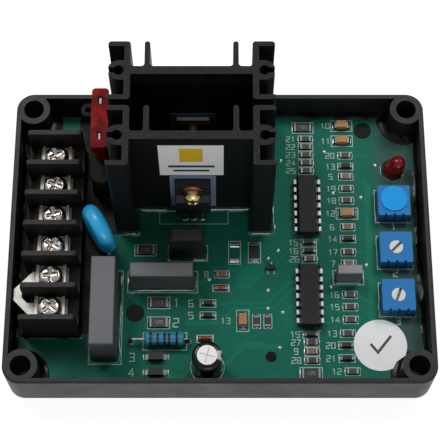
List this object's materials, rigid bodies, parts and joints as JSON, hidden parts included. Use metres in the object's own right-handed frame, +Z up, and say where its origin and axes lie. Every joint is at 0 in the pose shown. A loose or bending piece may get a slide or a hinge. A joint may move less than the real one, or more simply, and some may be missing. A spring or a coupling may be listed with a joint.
{
  "type": "automatic voltage regulator",
  "caption": "Open-tray voltage regulator module: potted circuit board with a barrier terminal strip, upright finned heatsinks carrying power devices, a blade fuse and trimmer controls.",
  "frame": {"origin": "middle of the tray's flat underside", "axes": "+X along the tray's long side from the terminal strip to the trimmers, +Y towards the heatsinks, +Z up out of the tray"},
  "size_m": [0.1224, 0.0904, 0.0546],
  "materials": {
    "case_plastic": "moulded, fine satin grain",
    "resin": "cast, glossy",
    "board_green": "green solder mask with pale print",
    "anodised": "black anodised, satin, with draw lines",
    "steel": "zinc plated",
    "pad_sheet": "matt insulating sheet",
    "device_black": "moulded, matt",
    "tinned": "tin plated",
    "brass": "yellow passivated",
    "label_white": "printed film",
    "strip_black": "moulded, satin",
    "nickel": "nickel plated",
    "fuse_red": "clear tinted moulding",
    "varistor_blue": "dipped, glossy",
    "film_grey": "moulded box",
    "resistor_blue": "lacquered with colour bands",
    "can_metal": "bare drawn can",
    "sleeve_black": "shrunk film",
    "lamp_red": "tinted clear resin",
    "trimmer_blue": "moulded",
    "rotor_white": "moulded",
    "seal_blue": "sealing film",
    "chip_black": "glazed",
    "tantalum_orange": "moulded",
    "ceramic_brown": "fired ceramic",
    "diode_glass": "amber glass"
  },
  "bodies": {
    "base": {"case": "case_plastic", "potting_compound": "resin", "circuit_board": "board_green", "rear_heatsink": "anodised", "front_heatsink": "anodised", "heatsink_screws": "steel", "rear_insulator": "pad_sheet", "front_insulator": "pad_sheet", "rear_thyristor": "device_black", "front_thyristor": "device_black", "bridge_rectifier": "device_black", "rear_amplifier": "device_black", "front_amplifier": "device_black", "chip_diodes": "device_black", "power_diodes": "device_black", "signal_transistor": "device_black", "thyristor_leads": "tinned", "component_leads": "tinned", "amplifier_pins": "tinned", "trimmer_pins": "tinned", "chip_ends": "tinned", "diode_leads": "tinned", "fuse_clips": "tinned", "fuse_blades": "tinned", "device_screws": "brass", "spring_washers": "brass", "flat_washers": "brass", "heatsink_label": "label_white", "inspection_sticker": "label_white", "terminal_block": "strip_black", "fuse_holder": "strip_black", "terminal_plates": "nickel", "terminal_clamps": "nickel", "terminal_screws": "nickel", "jumper_link": "nickel", "fuse_body": "fuse_red", "varistor": "varistor_blue", "large_film_capacitor": "film_grey", "medium_film_capacitor": "film_grey", "small_film_capacitor": "film_grey", "power_resistor": "resistor_blue", "electrolytic_can": "can_metal", "electrolytic_sleeve": "sleeve_black", "indicator_led": "lamp_red", "frequency_trimmer": "trimmer_blue", "stability_trimmer": "trimmer_blue", "voltage_trimmer": "trimmer_blue", "frequency_rotor": "rotor_white", "trimmer_seal": "seal_blue", "chip_resistors": "chip_black", "large_chip_resistors": "chip_black", "tantalum_capacitors": "tantalum_orange", "ceramic_capacitors": "ceramic_brown", "glass_diodes": "diode_glass"},
    "stability_rotor": {"stability_rotor": "rotor_white"},
    "voltage_rotor": {"voltage_rotor": "rotor_white"}
  },
  "joints": [
    {"name": "stability_turn", "type": "hinge", "parent": "base", "child": "stability_rotor", "pos_m": [0.05165, -0.0026, 0.011], "axis": [0, 0, 1], "range_deg": [-140, 140]},
    {"name": "voltage_turn", "type": "hinge", "parent": "base", "child": "voltage_rotor", "pos_m": [0.05165, -0.0174, 0.011], "axis": [0, 0, 1], "range_deg": [-140, 140]}
  ]
}
